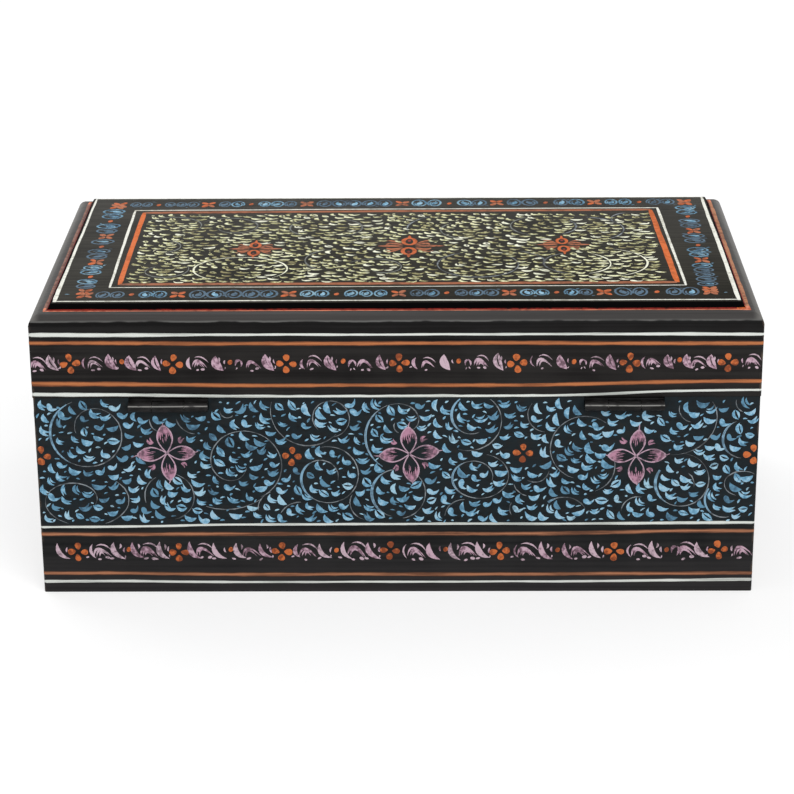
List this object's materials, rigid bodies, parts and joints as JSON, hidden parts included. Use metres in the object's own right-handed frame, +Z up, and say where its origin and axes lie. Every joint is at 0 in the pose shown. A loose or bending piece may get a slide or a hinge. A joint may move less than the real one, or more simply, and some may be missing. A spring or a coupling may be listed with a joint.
{
  "type": "painted papier mache box",
  "caption": "Rectangular papier mache box in black lacquer with painted flower bands, a lid with a rounded shoulder and raised panel, and small butt hinges at the back.",
  "frame": {"origin": "middle of the box's underside, which rests on the table", "axes": "+Z up, +X along the box, hinges on the +Y side, so a person in front of the box stands at -Y"},
  "size_m": [0.1802, 0.1026, 0.076],
  "materials": {
    "body_lacquer": "satin",
    "lid_lacquer": "satin",
    "hinge_steel": "satin",
    "pin_and_screw_steel": "satin"
  },
  "bodies": {
    "box": {"front_wall": "body_lacquer", "back_wall": "body_lacquer", "left_wall": "body_lacquer", "right_wall": "body_lacquer", "floor_board": "body_lacquer", "left_hinge_box_leaf": "hinge_steel", "right_hinge_box_leaf": "hinge_steel", "left_hinge_box_screws": "pin_and_screw_steel", "right_hinge_box_screws": "pin_and_screw_steel"},
    "lid": {"lid_front_rail": "lid_lacquer", "lid_back_rail": "lid_lacquer", "lid_left_rail": "lid_lacquer", "lid_right_rail": "lid_lacquer", "lid_top_board": "lid_lacquer", "lid_top_panel": "lid_lacquer", "left_hinge_lid_leaf": "hinge_steel", "right_hinge_lid_leaf": "hinge_steel", "left_hinge_lid_screws": "pin_and_screw_steel", "right_hinge_lid_screws": "pin_and_screw_steel", "left_hinge_pin": "pin_and_screw_steel", "right_hinge_pin": "pin_and_screw_steel"}
  },
  "joints": [
    {"name": "lid_hinge", "type": "hinge", "parent": "box", "child": "lid", "pos_m": [0, 0.0513, 0.051], "axis": [-1, 0, 0], "range_deg": [0, 180]}
  ]
}
